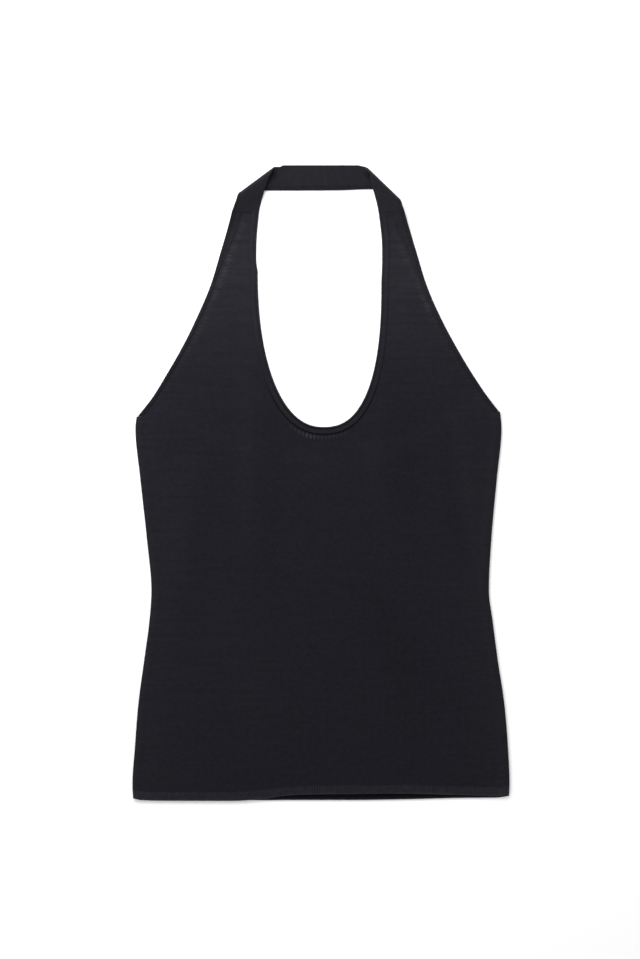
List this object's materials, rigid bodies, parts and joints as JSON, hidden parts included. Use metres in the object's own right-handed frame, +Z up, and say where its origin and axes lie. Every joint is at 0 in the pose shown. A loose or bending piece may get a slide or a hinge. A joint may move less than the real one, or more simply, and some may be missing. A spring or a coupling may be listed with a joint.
{
  "type": "halter neck top",
  "caption": "Sleeveless knitted top laid flat: waisted body, deep U neckline, curved-in armholes and a folded strap behind the neck.",
  "frame": {"origin": "middle of the garment's footprint, on the surface that it lies on", "axes": "+Y from hem to neck strap, +X to the right as seen from above, +Z up, away from the surface"},
  "size_m": [0.3843, 0.648, 0.0068],
  "materials": {
    "jersey": "fine black jersey knit, soft dull sheen",
    "rib": "fine black one by one rib",
    "strap_jersey": "smooth black double jersey",
    "trim": "smooth black knitted edging"
  },
  "bodies": {
    "root": {"front_panel": "jersey", "back_panel": "jersey", "front_hem_rib": "rib", "back_hem_rib": "rib", "neck_strap": "strap_jersey", "neckline_trim": "trim", "armhole_trim_left": "trim", "armhole_trim_right": "trim"}
  },
  "joints": []
}
